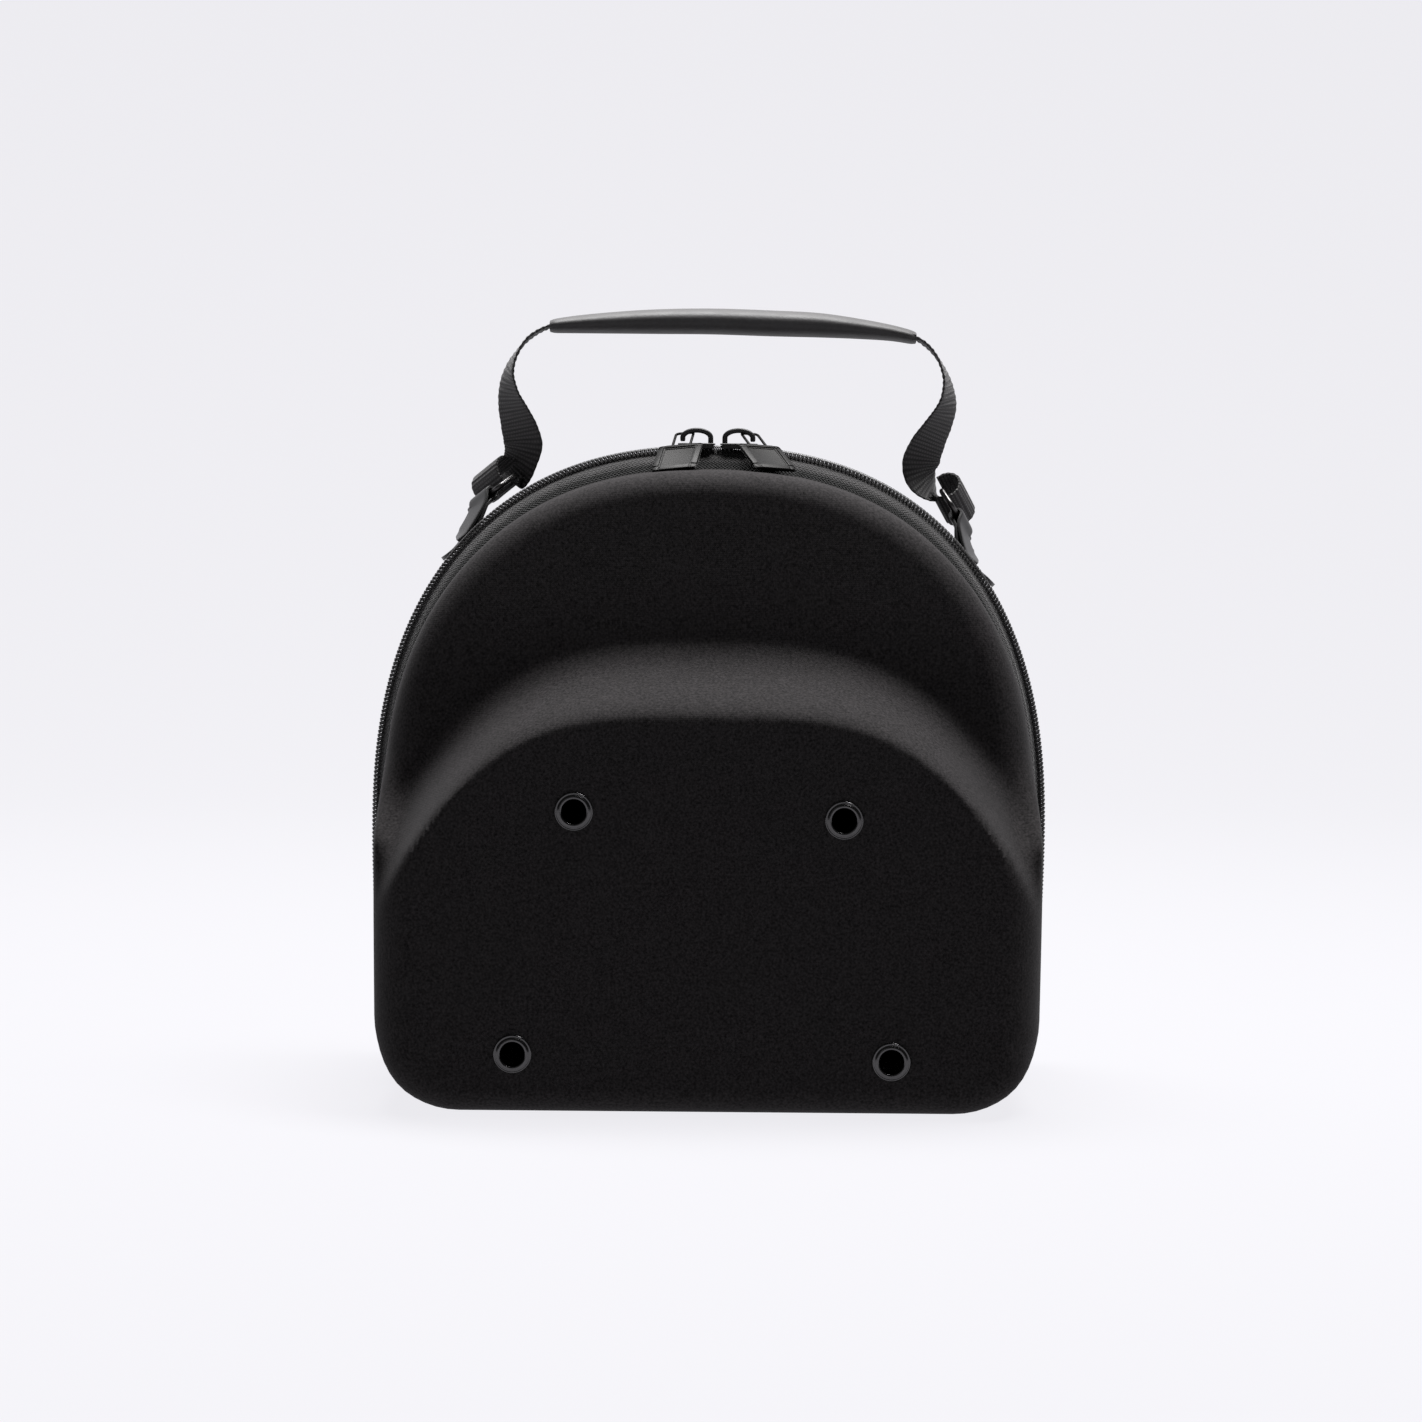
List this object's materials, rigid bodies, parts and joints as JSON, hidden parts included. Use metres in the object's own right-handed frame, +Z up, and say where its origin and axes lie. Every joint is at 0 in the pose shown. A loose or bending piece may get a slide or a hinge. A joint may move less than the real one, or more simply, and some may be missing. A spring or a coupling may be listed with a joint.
{
  "type": "cap carrier",
  "caption": "Moulded arch-shaped zip case for caps with a bulging front, vent eyelets and a padded strap handle.",
  "frame": {"origin": "middle of the overall box, at the flat bottom that the case stands on", "axes": "+Z up, -Y towards the bulging front, +X to the right as seen from the front"},
  "size_m": [0.281, 0.1644, 0.3216],
  "materials": {
    "shell_fabric": "matte laminated knit",
    "zip_tape": "woven tape",
    "zip_coil": "satin nylon",
    "slider_metal": "black enamel",
    "pull_metal": "pewter",
    "eyelet_metal": "polished gunmetal",
    "ring_metal": "polished gunmetal",
    "tab_leather": "glossy",
    "webbing": "ribbed webbing",
    "grip_rubber": "matte"
  },
  "bodies": {
    "case": {"front_shell": "shell_fabric", "back_shell": "shell_fabric", "zip_tape_front": "zip_tape", "zip_tape_back": "zip_tape", "zip_coil_front": "zip_coil", "zip_coil_back": "zip_coil", "hinge_tape": "zip_tape", "slider_left": "slider_metal", "slider_right": "slider_metal", "eyelet_upper_left": "eyelet_metal", "eyelet_upper_right": "eyelet_metal", "eyelet_lower_left": "eyelet_metal", "eyelet_lower_right": "eyelet_metal", "strap_ring_left": "ring_metal", "strap_ring_right": "ring_metal", "ring_tab_left": "tab_leather", "ring_tab_right": "tab_leather", "handle_strap": "webbing", "handle_grip": "grip_rubber"},
    "pull_left": {"pull_left": "pull_metal"},
    "pull_right": {"pull_right": "pull_metal"}
  },
  "joints": [
    {"name": "pull_left_lift", "type": "hinge", "parent": "case", "child": "pull_left", "pos_m": [-0.01175, 0.0212, 0.2677], "axis": [-0.9731, 0.2069, -0.1009], "range_deg": [0, 60]},
    {"name": "pull_right_lift", "type": "hinge", "parent": "case", "child": "pull_right", "pos_m": [0.01665, 0.0212, 0.2677], "axis": [-0.9083, -0.4138, 0.0606], "range_deg": [0, 60]}
  ]
}
